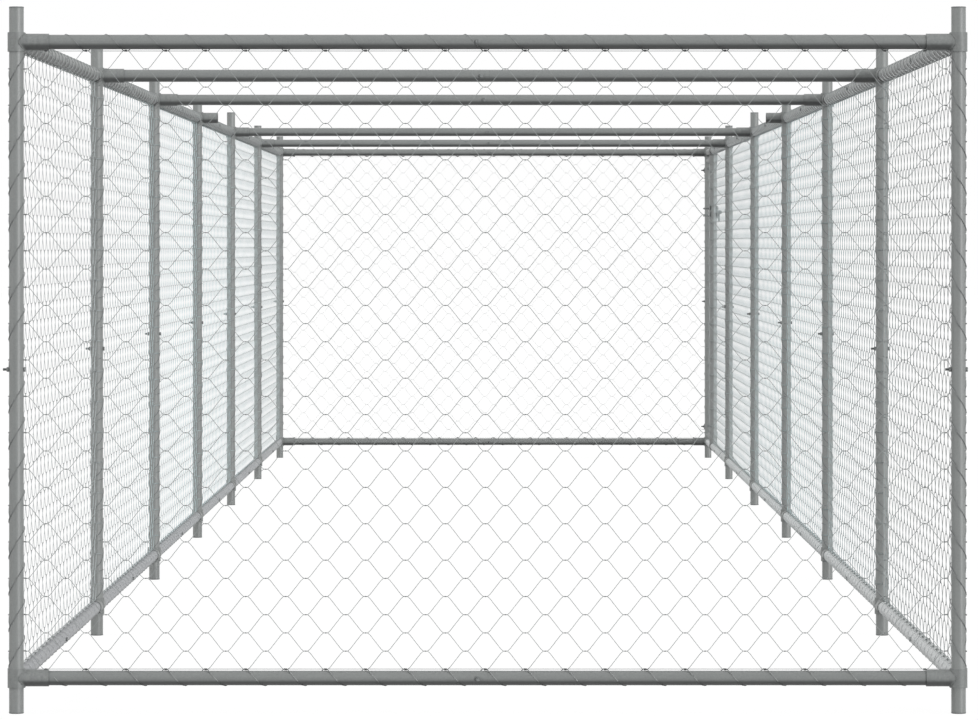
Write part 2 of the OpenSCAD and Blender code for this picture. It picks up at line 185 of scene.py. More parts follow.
class Graph:
    """Node tree that is written as expressions."""

    def __init__(self, tree: bpy.types.NodeTree) -> None:
        """Takes over a node tree and empties it."""
        self.tree = tree
        tree.nodes.clear()

    def node(
        self,
        kind: str,
        settings: dict[str, object] | None = None,
        sockets: dict[str | int, object] | None = None,
        out: str | int = 0,
    ) -> Term | None:
        """Adds a node, sets it up and connects it.

        Args:
            kind: Blender's name of the node type.
            settings: The node's own settings, which are set first.
            sockets: A value or a term for each input that isn't left alone.
            out: Name or place of the output to go on with.

        Returns:
            That output, or nothing for a node that has none.
        """
        made = self.tree.nodes.new(kind)
        for key, value in (settings or {}).items():
            setattr(made, key, value)
        for key, value in (sockets or {}).items():
            if isinstance(value, Term):
                self.tree.links.new(value.socket, made.inputs[key])
            else:
                made.inputs[key].default_value = value
        return Term(self, made.outputs[out]) if len(made.outputs) else None

    def place(self) -> Term:
        """Object coordinates, in metres."""
        return self.node("ShaderNodeTexCoord", out="Object")

    def split(self, vector: Term, axis: Axis) -> Term:
        """One coordinate of a vector."""
        return self.node("ShaderNodeSeparateXYZ", {}, {0: vector}, axis.value)

    def scaled(self, vector: Term, factors: Vector) -> Term:
        """Vector with each coordinate multiplied by its own factor."""
        return self.node("ShaderNodeVectorMath", {"operation": "MULTIPLY"}, {0: vector, 1: factors})

    def noise(self, vector: Term, scale: float, detail: float = 3.0) -> Term:
        """Soft noise of about 0.2 to 0.8, with the given number of features to a unit."""
        return self.node("ShaderNodeTexNoise", {}, {"Vector": vector, "Scale": scale, "Detail": detail})

    def cells(self, vector: Term, scale: float) -> Term:
        """Tone that differs from one crystal of the zinc to the next.

        Args:
            vector: Coordinates.
            scale: Number of crystals to a unit.

        Returns:
            One chance value from 0 to 1 for each crystal.
        """
        sockets = {"Vector": vector, "Scale": scale}
        colour = self.node("ShaderNodeTexVoronoi", {"feature": "F1"}, sockets, "Color")
        return self.node("ShaderNodeSeparateColor", {}, {0: colour})

    def blend(self, share: Term | float, first: Term | str, second: Term | str) -> Term:
        """Colour between two, each of them a term or a screen colour."""
        pair = [linear(colour) if isinstance(colour, str) else colour for colour in (first, second)]
        return self.node("ShaderNodeMix", {"data_type": "RGBA"}, {0: share, 6: pair[0], 7: pair[1]}, 2)

    def bump(self, height: Term, depth: float) -> Term:
        """Normal that follows a height of 0 to 1 over the given depth in metres."""
        return self.node("ShaderNodeBump", {}, {"Distance": depth, "Height": height}, "Normal")

    def from_post(self, place: Term) -> Term:
        """Distance from the axis of the nearest post, seen from above.

        Args:
            place: Object coordinates.

        Returns:
            The distance in metres.
        """
        across = abs(self.split(place, Axis.X)) - HALF_WIDTH
        down = self.split(place, Axis.Y).repeat(BAY)
        return (across * across + down * down).root()

    def underside(self, place: Term, depths: tuple[float, float]) -> Term:
        """1 under the rails' axes, where shade is painted on, and 0 elsewhere.

        Args:
            place: Object coordinates.
            depths: Depths below the nearest rail's axis at which the share starts to rise and is full.

        Returns:
            The share.
        """
        rise = (self.split(place, Axis.Z) - RAIL_Z[0]).repeat(RAIL_Z[1] - RAIL_Z[0])
        return (0.0 - rise).ramp(*depths) * (1 - abs(rise).ramp(*UNDER_SHADE_END))

    def painted_shade(self) -> Term:
        """Painted shade that a piece carries at its points, or 0."""
        return self.node("ShaderNodeAttribute", {"attribute_name": "painted_shade"}, out="Fac")

    def seen(self) -> Term:
        """Tells the rays that show the background, straight, mirrored or through glass.

        Returns:
            1 for those rays and 0 for the others.
        """
        rays = ("Is Camera Ray", "Is Glossy Ray", "Is Transmission Ray")
        straight, mirrored, through = (self.node("ShaderNodeLightPath", out=name) for name in rays)
        return straight.most(mirrored).most(through)

    def surface(self, colour: Term, metallic: float, roughness: Term, normal: Term) -> Term:
        """Principled surface with the given inputs."""
        inputs = {"Base Color": colour, "Metallic": metallic, "Roughness": roughness, "Normal": normal}
        return self.node("ShaderNodeBsdfPrincipled", {}, inputs)


@dataclass(frozen=True)
class Finish:
    """Surface finish that can be put on an object."""

    name: str

    def shade(self, graph: Graph) -> Term:
        """Builds the finish's nodes.

        Args:
            graph: Node tree that they go into.

        Returns:
            The finish's surface.
        """
        raise NotImplementedError

    def material(self) -> bpy.types.Material:
        """Makes the material, or finds it if it has been made.

        Returns:
            The material under the finish's name.
        """
        known = bpy.data.materials.get(self.name)
        if known:
            return known
        made = bpy.data.materials.new(self.name)
        made.use_nodes = True
        graph = Graph(made.node_tree)
        graph.node("ShaderNodeOutputMaterial", {}, {"Surface": self.shade(graph)})
        return made

    def dress(self, thing: bpy.types.Object) -> None:
        """Gives an object this finish alone."""
        thing.data.materials.clear()
        thing.data.materials.append(self.material())


@dataclass(frozen=True)
class DrawnZinc(Finish):
    """Galvanised tube: fine spangle, streaks along it, grime and painted shade where it enters a socket.

    A lying tube has painted shade on its underside too. Patches, spangles and grains are counted to a metre.
    """

    along: Axis = Axis.Z
    light: str = "#969998"
    dark: str = "#8a8d8c"
    # Painted shade on a lying tube's underside: its strength and the depths below the axis where it comes in
    under_shade: float = 0.72
    under_shade_depth: tuple[float, float] = UNDER_SHADE_DEPTH
    streak_along: float = 1.2
    streak_across: float = 110.0
    patches: float = 5.0
    spangles: float = 420.0
    grains: float = 900.0
    relief: float = 0.06 * MM
    # Grime and painted shade in a ring where a tube enters a socket: tone, strength, reach and width
    grime_and_shade_tone: str = "#666967"
    grime_and_shade: float = 0.5
    grime_and_shade_reach: float = 71 * MM
    grime_and_shade_width: float = 6 * MM
    # Painted dark tone that the piece's painted shade blends towards
    painted_dark: str = "#3a3d3d"

    def shade(self, graph: Graph) -> Term:
        """Builds the finish's nodes.

        Args:
            graph: Node tree that they go into.

        Returns:
            The finish's surface.
        """
        place = graph.place()
        stretch = tuple(self.streak_along if axis is self.along else self.streak_across for axis in Axis)
        streak = graph.noise(graph.scaled(place, stretch), 1.0, 2.0)
        patch = graph.noise(place, self.patches, 2.0)
        spangle = graph.cells(place, self.spangles)
        tone = (streak * 0.45 + patch * 0.35 + spangle * 0.2).ramp(0.25, 0.75)
        # Grime and painted shade in patches, in a ring at each socket's mouth
        grime_and_shade = 1 - abs(graph.from_post(place) - self.grime_and_shade_reach).ramp(0.0, self.grime_and_shade_width)
        clean = graph.blend(tone, self.dark, self.light)
        colour = graph.blend(grime_and_shade * patch * self.grime_and_shade, clean, self.grime_and_shade_tone)
        # A lying tube gets painted shade on its underside
        if self.along is not Axis.Z:
            under_shade = graph.underside(place, self.under_shade_depth) * self.under_shade
            colour = graph.blend(under_shade, colour, UNDER_SHADE)
        grain = graph.noise(place, self.grains, 2.0)
        # Painted shade from the piece's points darkens the colour
        return graph.surface(
            colour=graph.blend(graph.painted_shade(), colour, self.painted_dark),
            metallic=0.04,
            roughness=0.34 + spangle * 0.08 + patch * 0.14,
            normal=graph.bump(grain * 0.6 + streak * 0.4, self.relief),
        )


@dataclass(frozen=True)
class CastZinc(Finish):
    """Welded fitting after dipping: uneven zinc, dull round the welds, with a pitted skin."""

    light: str = "#979a99"
    dark: str = "#888b8a"
    heated: str = "#7b7e7d"
    heat: float = 0.25
    weld_reach: float = 22 * MM
    weld_width: tuple[float, float] = (1 * MM, 9 * MM)
    # Painted shade under the sockets: its strength and the distances from the post's axis where it comes in
    under_shade: float = 0.72
    under_shade_start: tuple[float, float] = (19 * MM, 25 * MM)
    runs: Vector = (140.0, 140.0, 40.0)
    spangles: float = 300.0
    pits: float = 600.0
    relief: float = 0.07 * MM

    def shade(self, graph: Graph) -> Term:
        """Builds the finish's nodes.

        Args:
            graph: Node tree that they go into.

        Returns:
            The finish's surface.
        """
        place = graph.place()
        runs = graph.noise(graph.scaled(place, self.runs), 1.0)
        spangle = graph.cells(place, self.spangles)
        reach = graph.from_post(place)
        heat = 1 - abs(reach - self.weld_reach).ramp(*self.weld_width)
        clean = graph.blend((runs * 0.75 + spangle * 0.25).ramp(0.25, 0.75), self.dark, self.light)
        dipped = graph.blend(heat * self.heat, clean, self.heated)
        # Painted shade under the sockets, away from the post
        under_shade = graph.underside(place, UNDER_SHADE_DEPTH) * reach.ramp(*self.under_shade_start) * self.under_shade
        skin = graph.noise(place, self.pits)
        return graph.surface(
            colour=graph.blend(under_shade, dipped, UNDER_SHADE),
            metallic=0.04,
            roughness=0.36 + runs * 0.14 + heat * 0.08,
            normal=graph.bump(skin * 0.6 + runs * 0.4, self.relief),
        )


@dataclass(frozen=True)
class DrawnWire(Finish):
    """Galvanised wire: dull stretches, fine drawing marks, and painted shade at its hooks and wrapped ends.

    Towards the back of the run it is paler, and in its middle it is coolest.
    """

    light: str = "#a8acac"
    dark: str = "#949999"
    # Painted dark tone at the hooks and wrapped ends
    painted_dark: str = "#767a7a"
    sheltered: float = 0.25
    cool: float = 0.34
    pale: str = "#f2f3f3"
    cold: str = "#cbf9ff"
    stretches: float = 22.0
    marks: float = 1500.0
    relief: float = 0.02 * MM

    def shade(self, graph: Graph) -> Term:
        """Builds the finish's nodes.

        Args:
            graph: Node tree that they go into.

        Returns:
            The finish's surface.
        """
        place = graph.place()
        stretch = graph.noise(place, self.stretches)
        marks = graph.noise(place, self.marks, 1.0)
        clean = graph.blend(stretch.ramp(0.3, 0.7), self.dark, self.light)
        depth = graph.split(place, Axis.Y)
        near, middle, far = (POST_Y[i] for i in (0, BAYS // 2, BAYS))
        inside = depth.ramp(near, middle) * (1 - 0.5 * depth.ramp(middle, far))
        cooled = graph.blend(inside * self.cool, clean, self.cold)
        faded = graph.blend(depth.ramp(near, far) * self.sheltered, cooled, self.pale)
        # Painted shade from the piece's points darkens the wire
        return graph.surface(
            colour=graph.blend(graph.painted_shade(), faded, self.painted_dark),
            metallic=0.3,
            roughness=0.36 + stretch * 0.2,
            normal=graph.bump(marks, self.relief),
        )


@dataclass(frozen=True)
class Clouded(Finish):
    """Plain surface with clouds of tone and a fine grain: weld metal, plating or plastic.

    Clouds and grains each have a number of features to a metre and a level of detail. Roughness is that of
    the plain surface, and what the clouds and the grain add to it.
    """

    light: str
    dark: str
    clouds: tuple[float, float]
    grains: tuple[float, float]
    metallic: float
    roughness: Vector
    relief: float

    def shade(self, graph: Graph) -> Term:
        """Builds the finish's nodes.

        Args:
            graph: Node tree that they go into.

        Returns:
            The finish's surface.
        """
        place = graph.place()
        cloud = graph.noise(place, *self.clouds)
        grain = graph.noise(place, *self.grains)
        plain, by_cloud, by_grain = self.roughness
        return graph.surface(
            colour=graph.blend(cloud.ramp(0.3, 0.7), self.dark, self.light),
            metallic=self.metallic,
            roughness=plain + cloud * by_cloud + grain * by_grain,
            normal=graph.bump(grain, self.relief),
        )


@dataclass(frozen=True)
class WhiteFloor(Finish):
    """Studio floor.

    It is white where it is seen, with a faint shadow, and a dull grey to the light that it returns.
    """

    shadowed: float = 0.1
    white: float = 0.95
    returned: float = 0.05

    def shade(self, graph: Graph) -> Term:
        """Builds the finish's nodes.

        Args:
            graph: Node tree that they go into.

        Returns:
            The finish's surface.
        """
        tones = [{"Color": (tone, tone, tone, 1.0)} for tone in (self.shadowed, self.returned)]
        shadowed, dull = (graph.node("ShaderNodeBsdfDiffuse", {}, tone) for tone in tones)
        white = graph.node("ShaderNodeEmission", {}, {"Strength": self.white})
        shown = graph.node("ShaderNodeAddShader", {}, {0: shadowed, 1: white})
        return graph.node("ShaderNodeMixShader", {}, {0: graph.seen(), 1: dull, 2: shown})


TUBE_ALONG = {
    Axis.X: DrawnZinc("tube_zinc_along_x", Axis.X),
    Axis.Y: DrawnZinc("tube_zinc_along_y", Axis.Y),
    Axis.Z: DrawnZinc("tube_zinc_along_z", Axis.Z, "#9c9f9e", "#909392"),
}
# Low side rails: lighter tones as a painted sheen, and on the right painted shade from the top side down
SHEEN_LOW_RAILS = {
    "left_bottom_rails": DrawnZinc("tube_zinc_low_left_sheen", Axis.Y, "#aeb0b3", "#9fa1a4"),
    "right_bottom_rails": DrawnZinc(
        "tube_zinc_low_right_sheen", Axis.Y, "#e2e5e5", "#d4d7d7", under_shade=0.5, under_shade_depth=(-10 * MM, 11 * MM)
    ),
}
FITTING = CastZinc("fitting_zinc_dipped")
WELD = Clouded(
    "weld_metal_dipped", "#8f9291", "#737675", clouds=(160.0, 2.0), grains=(700.0, 4.0),
    metallic=0.2, roughness=(0.45, 0.0, 0.2), relief=0.25 * MM,
)
WIRE = DrawnWire("wire_zinc")
SIDE_WIRE = DrawnWire("wire_zinc_bright", "#d0d4d4", "#bec2c3", "#7c8080", sheltered=0.1)
PALE_WIRE = DrawnWire("wire_zinc_pale", "#f4f6f6", "#eaecec", "#b0b4b4", sheltered=0.0, cool=0.0)
# Tie wire lighter than the tubes as a painted highlight; on the rails the first also gets painted shade
# below
PAINTED_LIGHT_TIE = DrawnZinc("tie_zinc_painted_light", Axis.X, "#b0b3b3", "#a2a5a5", under_shade=0.95)
PAINTED_LIGHT_SIDE_TIE = DrawnWire("tie_wire_painted_light", "#e6e8e8", "#d6d9d9", "#6c7070", cool=0.1)
FASTENER = Clouded(
    "fastener_zinc_plated", "#8d9090", "#696c6c", clouds=(130.0, 3.0), grains=(900.0, 2.0),
    metallic=0.6, roughness=(0.26, 0.2, 0.08), relief=0.03 * MM,
)
CAP = Clouded(
    "cap_plastic_grey", "#878a8a", "#7d8080", clouds=(60.0, 2.0), grains=(1400.0, 2.0),
    metallic=0.0, roughness=(0.52, 0.0, 0.14), relief=0.08 * MM,
)
FLOOR = WhiteFloor("floor_white")


def added(name: str, data: bpy.types.ID) -> bpy.types.Object:
    """Makes an object of some data and adds it to the scene.

    Args:
        name: Name of the object.
        data: Its mesh, lamp or camera.

    Returns:
        The new object.
    """
    thing = bpy.data.objects.new(name, data)
    bpy.context.scene.collection.objects.link(thing)
    return thing


@dataclass
class Shell:
    """Closed surface.

    It has points, and faces in groups of one corner count each. It may have painted shade at each point, and
    a texture place for each corner of each group.
    """

    points: np.ndarray
    faces: list[np.ndarray]
    painted_shade: np.ndarray | None = None
    places: list[np.ndarray] | None = None

    @staticmethod
    def join(shells: list[Shell]) -> Shell:
        """Puts several surfaces into one.

        Args:
            shells: Surfaces to put together, in order.

        Returns:
            One surface with all their points and faces.
        """
        starts = np.cumsum([0] + [len(s.points) for s in shells[:-1]])
        faces = [group + start for s, start in zip(shells, starts) for group in s.faces]
        painted_shade = [np.zeros(len(s.points)) if s.painted_shade is None else s.painted_shade for s in shells]
        points = np.concatenate([s.points for s in shells])
        places = None
        if all(s.places for s in shells):
            shares = zip(shells, starts / len(points))
            places = [p * (1, len(s.points) / len(points)) + (0, low) for s, low in shares for p in s.places]
        return Shell(points, faces, np.concatenate(painted_shade), places)

    def piece(
        self,
        name: str,
        body: Body,
        slot: Slot,
        finish: Finish,
        nodes: tuple[str, ...] = (),
        crease: float = 40.0,
    ) -> bpy.types.Object:
        """Makes the surface an object of the scene.

        Args:
            name: Name of the piece.
            body: Body that it moves with.
            slot: Material slot that it belongs to; not used.
            finish: Finish that it gets.
            nodes: Nodes of the frame that it stands for.
            crease: Angle in degrees past which an edge stays sharp.

        Returns:
            The new object.
        """
        mesh = bpy.data.meshes.new(name)
        corners = np.concatenate([group.ravel() for group in self.faces]).astype(np.int32)
        counts = np.concatenate([np.full(len(g), g.shape[1], np.int32) for g in self.faces])
        starts = np.concatenate([[0], np.cumsum(counts)[:-1]]).astype(np.int32)
        mesh.vertices.add(len(self.points))
        mesh.vertices.foreach_set("co", self.points.astype(np.float32).ravel())
        mesh.loops.add(len(corners))
        mesh.loops.foreach_set("vertex_index", corners)
        mesh.polygons.add(len(counts))
        mesh.polygons.foreach_set("loop_start", starts)
        mesh.polygons.foreach_set("use_smooth", np.ones(len(counts), bool))
        mesh.update(calc_edges=True)
        if self.painted_shade is not None:
            shade_values = mesh.attributes.new("painted_shade", "FLOAT", "POINT")
            shade_values.data.foreach_set("value", self.painted_shade.astype(np.float32))
        if self.places:
            flat = np.concatenate([p.reshape(-1, 2) for p in self.places]).astype(np.float32)
            mesh.uv_layers.new(name=BAKE_MAP, do_init=False).uv.foreach_set("vector", flat.ravel())
        mesh.set_sharp_from_angle(angle=math.radians(crease))
        thing = added(name, mesh)
        finish.dress(thing)
        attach(thing, body.value)
        if nodes:
            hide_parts(*nodes)
        LOG.info("%s: %d triangles on %s", name, int((counts - 2).sum()), body.value)
        return thing


def unit(vectors: np.ndarray) -> np.ndarray:
    """Vectors of length 1 in the same directions."""
    return vectors / np.linalg.norm(vectors, axis=-1, keepdims=True)


def ring_faces(index: np.ndarray, downward: bool = False) -> np.ndarray:
    """Four-sided faces between rings that follow each other.

    Args:
        index: Point numbers, by solid, ring and place round the ring.
        downward: Whether the rings follow each other against the axis that they turn about.

    Returns:
        The faces' corners, so that each face points outwards.
    """
    turned = np.roll(index, -1, 2)
    across = (turned[:, :-1], turned[:, 1:], index[:, 1:])
    corners = (index[:, :-1], *(across[::-1] if downward else across))
    return np.stack(corners, -1).reshape(-1, 4)


def strips(bars: int, steps: int, sides: int, length: int = 65, margin: float = 0.1) -> list[np.ndarray]:
    """Texture places of round bars, whose sides all share the bar's strips.

    Face i along bar k lies at i modulo length in strip k n + i // length of the unit square, where n is the
    number of strips to a bar. An end is a small round patch in its bar's first face.

    Args:
        bars: Number of bars.
        steps: Faces along a bar.
        sides: Faces round it.
        length: Faces along one strip.
        margin: Share of a face that stays free on either side.

    Returns:
        Places of the corners of the bars' four-sided faces, and of their ends.
    """
    each = -(-steps // length)
    i = np.arange(steps)
    row = np.arange(bars)[:, None] * each + i // length
    u = ((i % length)[:, None] + np.array([0, 0, 1, 1])) / length
    v = (row[..., None] + np.array([margin, 1 - margin, 1 - margin, margin])) / (bars * each)
    sheet = np.stack(np.broadcast_arrays(u, v), -1)[:, :, None]
    angle = np.arange(sides) * TURN / sides
    end_u = (0.5 + (0.5 - margin) * np.cos(angle)) / length
    end_v = (row[:, :1] + 0.5 + (0.5 - margin) * np.sin(angle)) / (bars * each)
    return [np.repeat(sheet, sides, 2).reshape(-1, 4, 2), np.stack(np.broadcast_arrays(end_u, end_v), -1)]


def swept(
    paths: np.ndarray,
    upright: np.ndarray,
    radius: float | np.ndarray,
    sides: int = 6,
    closed: bool = False,
    painted_shade: float | np.ndarray = 0.0,
) -> Shell:
    """Round bars along several paths of equal point count.

    A path point p carries the ring p + r (n cos a + b sin a). The direction t is the mean of the two
    segments at p, n is the reference direction made square to t, and b is t cross n.

    Args:
        paths: Points, indexed by bar, point and coordinate.
        upright: Reference direction, for all points or for each.
        radius: Bar radius r, for all points or for each.
        sides: Points of a ring.
        closed: Whether each path returns to its first point.
        painted_shade: Painted shade from 0 to 1, for all points or for each.

    Returns:
        The bars, with flat ends where a path is open.
    """
    bars, count, _ = paths.shape
    steps = unit(np.roll(paths, -1, 1) - paths) if closed else unit(np.diff(paths, axis=1))
    before = np.roll(steps, 1, 1) if closed else np.concatenate([steps[:, :1], steps], 1)
    after = steps if closed else np.concatenate([steps, steps[:, -1:]], 1)
    t = unit(before + after)
    ref = np.broadcast_to(upright, paths.shape)
    n = unit(ref - (ref * t).sum(-1, keepdims=True) * t)
    b = np.cross(t, n)
    angle = np.arange(sides) * TURN / sides
    r = np.broadcast_to(radius, (bars, count))[..., None, None]
    ring = n[:, :, None] * np.cos(angle)[:, None] + b[:, :, None] * np.sin(angle)[:, None]
    points = paths[:, :, None] + r * ring
    index = np.arange(bars * count * sides).reshape(bars, count, sides)
    along = np.concatenate([index, index[:, :1]], 1) if closed else index
    ends = [] if closed else [index[:, 0, ::-1], index[:, -1]]
    shade_values = np.repeat(np.broadcast_to(painted_shade, (bars, count)).ravel(), sides)
    sheet, patch = strips(bars, count if closed else count - 1, sides)
    return Shell(points.reshape(-1, 3), [ring_faces(along), *ends], shade_values, [sheet, *[patch for _ in ends]])


def turned_solids(
    profile: list[tuple[np.ndarray | float, float]],
    sides: int,
    centres: list[Vector],
    axes: np.ndarray,
    hole: bool,
) -> Shell:
    """Solids whose outline at angle a is a profile of reach and height about an axis.

    The point at profile step i and angle a is c + reach(i, a) (u cos a + v sin a) + height(i) h. With no
    hole, the profile's first and last reach are 0 and shrink to one point each. With one, it returns to its
    start.

    Args:
        profile: Reach from the axis, for all angles or for each, and height along it, from the head down.
        sides: Number of angles.
        centres: Middle c of each solid.
        axes: Directions u, v and h of each solid, right-handed.
        hole: Whether the profile is a closed ring round a hole.

    Returns:
        All the solids.
    """
    count, rings = len(centres), len(profile)
    reach = np.stack([np.broadcast_to(reach, sides) for reach, _ in profile])
    height = np.array([height for _, height in profile])[:, None]
    angle = np.arange(sides) * TURN / sides
    flat = np.stack(np.broadcast_arrays(reach * np.cos(angle), reach * np.sin(angle), height), -1)
    points = np.array(centres, float)[:, None, None] + np.einsum("rsk,nkc->nrsc", flat, axes)
    if hole:
        index = np.arange(count * rings * sides).reshape(count, rings, sides)
        index = np.concatenate([index, index[:, :1]], 1)
        return Shell(points.reshape(-1, 3), [ring_faces(index, downward=True)])
    inner = points[:, 1:-1].reshape(count, -1, 3)
    points = np.concatenate([points[:, 0, :1], inner, points[:, -1, :1]], 1)
    each = points.shape[1]
    start = (np.arange(count) * each)[:, None, None]
    index = start + 1 + np.arange((rings - 2) * sides).reshape(rings - 2, sides)
    turned = np.roll(index, -1, 2)
    tip = np.broadcast_to(start, (count, 1, sides))
    caps = [
        np.stack([tip, index[:, :1], turned[:, :1]], -1),
        np.stack([tip + each - 1, turned[:, -1:], index[:, -1:]], -1),
    ]
    faces = [ring_faces(index, downward=True), np.concatenate(caps).reshape(-1, 3)]
    return Shell(points.reshape(-1, 3), faces)


@dataclass(frozen=True)
class Upright:
    """Tube at one end of a panel, and how the panel is held to it.

    The wire ends go round on the side of wrap, through far degrees. Every second one sinks by drop behind
    the tube, and slant leads them towards the next row. Tie wire is wound in the sense of spin along each
    stretch of ties.
    """

    radius: float = TUBE_R
    wrap: int = 1
    spin: int = -1
    far: float = 112.0
    drop: float = 0.0
    slant: bool = False
    ties: Spans = ((108 * MM, 700 * MM), (762 * MM, 1392 * MM))


@dataclass
class ChainLink:
    """One chain-link panel with its straining wires and the wire that ties it to its tubes.

    Its own coordinates are s along the panel from the axis of its first upright, w square to it, and z up.
    Angles are in degrees, and painted shade goes from 0 to 1.
    """

    name: str
    node: str
    along: Axis
    start: tuple[float, float]
    first: Upright = Upright()
    last: Upright = Upright()
    body: Body = Body.FRAME
    finish: Finish = WIRE
    tie_finish: Finish = PAINTED_LIGHT_TIE

    # Panel and rails
    span: float = BAY
    lead: float = 24.8 * MM
    end_gap: float = 2 * MM
    rails: tuple[float, float] = RAIL_Z
    rail_r: float = TUBE_R
    edge_gap: float = 18.4 * MM
    rows: int = 34
    column: float = 42.4 * MM
    strain_points: int = 9

    # Mesh wire: its hooks, then its wrapped ends
    wire: float = 1.25 * MM
    hook: float = 12 * MM
    bend: float = 0.075
    flatness: float = 3.0
    depth: float = 1.5 * MM
    # Painted shade at each hook: its reach, as a share of a column
    hook_shade_width: float = 0.17
    seat: float = 0.6
    lift_off: float = 70.0
    sink_from: float = 165.0
    tip: float = 1.6 * MM
    tip_share: float = 0.2
    # Painted shade along a wrapped end, from its hook to its tip
    tip_shade: tuple[float, float] = (0.3, 1.0)
    slant_points: tuple[float, float] = (0.5, 2.5)

    # Tie wire along the rails, with its painted shade at the low and at the top rail, far from a hook and at
    # it
    tie: float = 2.0 * MM
    low_tie: float = 2.0 * MM
    sunk: float = 0.1 * MM
    room: float = 82 * MM
    turn_steps: int = 11
    bolt: float | None = RAIL_JOINT
    bolt_room: float = 8.5 * MM
    bolt_spread: float = 22 * MM
    low_shade: tuple[float, float] = (0.0, 0.0)
    top_shade: tuple[float, float] = (0.2, 0.2)

    # Bindings at the outer hooks
    binding: float = 6 * MM
    binding_wall: float = 0.9 * MM
    binding_ripple: float = 0.3 * MM
    binding_turns: int = 3
    # Painted shade of the bindings
    binding_shade: float = 0.85

    # Tie wire down the uprights
    lashing: float = 2.0 * MM
    lash_steps: int = 14
    lash_rise: float = 28 * MM
    sway: float = 12 * MM
    over_ends: float = 1.15
    over_from: tuple[float, float] = (-0.2, 0.4)
    # Painted shade on ties down the uprights: its level, darker away from the panel, painted light outward
    grime_and_shade: float = 0.38
    shade_swing: float = 0.22
    painted_light: float = 0.0

    def __post_init__(self) -> None:
        """Works out the heights of the rows of hooks and the number of columns."""
        self.top = self.rails[1] - self.edge_gap
        self.step = (self.top - self.rails[0] - self.edge_gap) / self.rows
        self.bottom = self.top - self.rows * self.step
        self.columns = int((self.span - self.lead - self.last.radius - self.end_gap) / self.column)
        self.tail = self.span - self.lead - self.columns * self.column

    def placed(self, s: np.ndarray, w: np.ndarray, z: np.ndarray) -> np.ndarray:
        """Turns the panel's own coordinates into the frame's.

        Args:
            s: Distances along the panel.
            w: Distances square to it.
            z: Heights.

        Returns:
            Points, with the coordinates last.
        """
        s, w, z = np.broadcast_arrays(s, w, z)
        plan = (s, w) if self.along is Axis.X else (-w, s)
        return np.stack([self.start[0] + plan[0], self.start[1] + plan[1], z], -1)

    def wrapped_end(self, upright: Upright, distance: float) -> tuple[np.ndarray, np.ndarray, np.ndarray]:
        """Wire end that goes round an upright from its last hook.

        At angle a the wire lies at the upright's radius plus a share of the last hook's distance that falls
        to nothing by the angle lift_off. A long end sinks evenly past the far side, from the angle sink_from
        on, and the tip of a short one stands off.

        Args:
            upright: Tube that the wire goes round.
            distance: Distance of the last hook from the upright's axis.

        Returns:
            Distances from the axis towards the panel and square to it from the hook to the tip, and the
            share of the long end's sinking there.
        """
        degrees = END_TURN * upright.far
        angle = np.radians(degrees)
        seat = upright.radius + self.seat * self.wire
        fall = np.clip(1 - degrees / self.lift_off, 0, 1) ** 2
        reach = seat + (distance - seat) * fall
        if upright.drop == 0:
            reach = reach + self.tip * np.clip((END_TURN - 1) / self.tip_share + 1, 0, 1)
        sink = np.clip((degrees - self.sink_from) / max(upright.far - self.sink_from, 1), 0, 1)
        return reach * np.cos(angle), upright.wrap * reach * np.sin(angle), sink

    def wires(self) -> Shell:
        """Zigzag wires, hooked into each other.

        Between two columns of hooks a wire's height goes from one row to the next along a ramp that is flat
        for half a hook at each end, with corners rounded as a hyperbola. Its depth follows a sine that is
        squeezed to a flat wave, so that rising strands lie in front and falling ones behind.

        Returns:
            All the panel's wires.
        """
        row = np.arange(self.rows)[:, None]
        place = np.append((np.arange(self.columns)[:, None] + STRAND).ravel(), self.columns)
        flat = self.hook / 2 / self.column
        along = place % 1
        rise = np.hypot(along - flat, self.bend) - np.hypot(along - 1 + flat, self.bend)
        rise = rise / (math.hypot(1 - flat, self.bend) - math.hypot(flat, self.bend))
        swing = np.where(np.floor(place) % 2 == 0, -rise, rise)
        wave = np.tanh(self.flatness * np.sin(np.pi * place)) / math.tanh(self.flatness)
        sign = np.where(row % 2 == 1, 1.0, -1.0)
        s = np.broadcast_to(self.lead + place * self.column, (self.rows, len(place)))
        w = sign * wave * self.depth
        z = self.top - (row + 0.5) * self.step + sign * swing * (self.step + self.wire) / 2
        ends = []
        for upright, distance, home, way, hook in (
            (self.first, self.lead, 0.0, 1, z[:, :1]),
            (self.last, self.tail, self.span, -1, z[:, -1:]),
        ):
            inward, square, sink = self.wrapped_end(upright, distance)
            slope = np.interp(np.arange(len(sink)), self.slant_points, (0, upright.slant * self.step))
            height = hook + np.where(row % 2 == 0, slope - sink * upright.drop, -slope)
            ends.append(np.broadcast_arrays(home + way * inward, square, height))
        first, last = ends
        s, w, z = (np.concatenate([a[:, ::-1], path, b], 1) for a, path, b in zip(first, (s, w, z), last))
        # Painted shade: darkest at the hooks, and rising along each wrapped end to its tip
        tip = np.linspace(*self.tip_shade, len(END_TURN))
        painted_dark = np.clip(1 - np.abs(place - np.round(place)) / self.hook_shade_width, 0, 1)
        painted_shade = np.concatenate([tip[::-1], painted_dark, tip])
        return swept(self.placed(s, w, z), UP, self.wire / 2, painted_shade=painted_shade)

    def straining_wires(self) -> Shell:
        """Straight wires through the outermost hooks, above and below, half a wire inside their middles.

        Returns:
            Both wires.
        """
        clear = SLEEVE_R + self.end_gap
        s = np.linspace(clear, self.span - clear, self.strain_points)
        z = np.array([self.top - self.wire / 2, self.bottom + self.wire / 2])[:, None]
        return swept(self.placed(s, 0.0, z), UP, self.wire / 2)

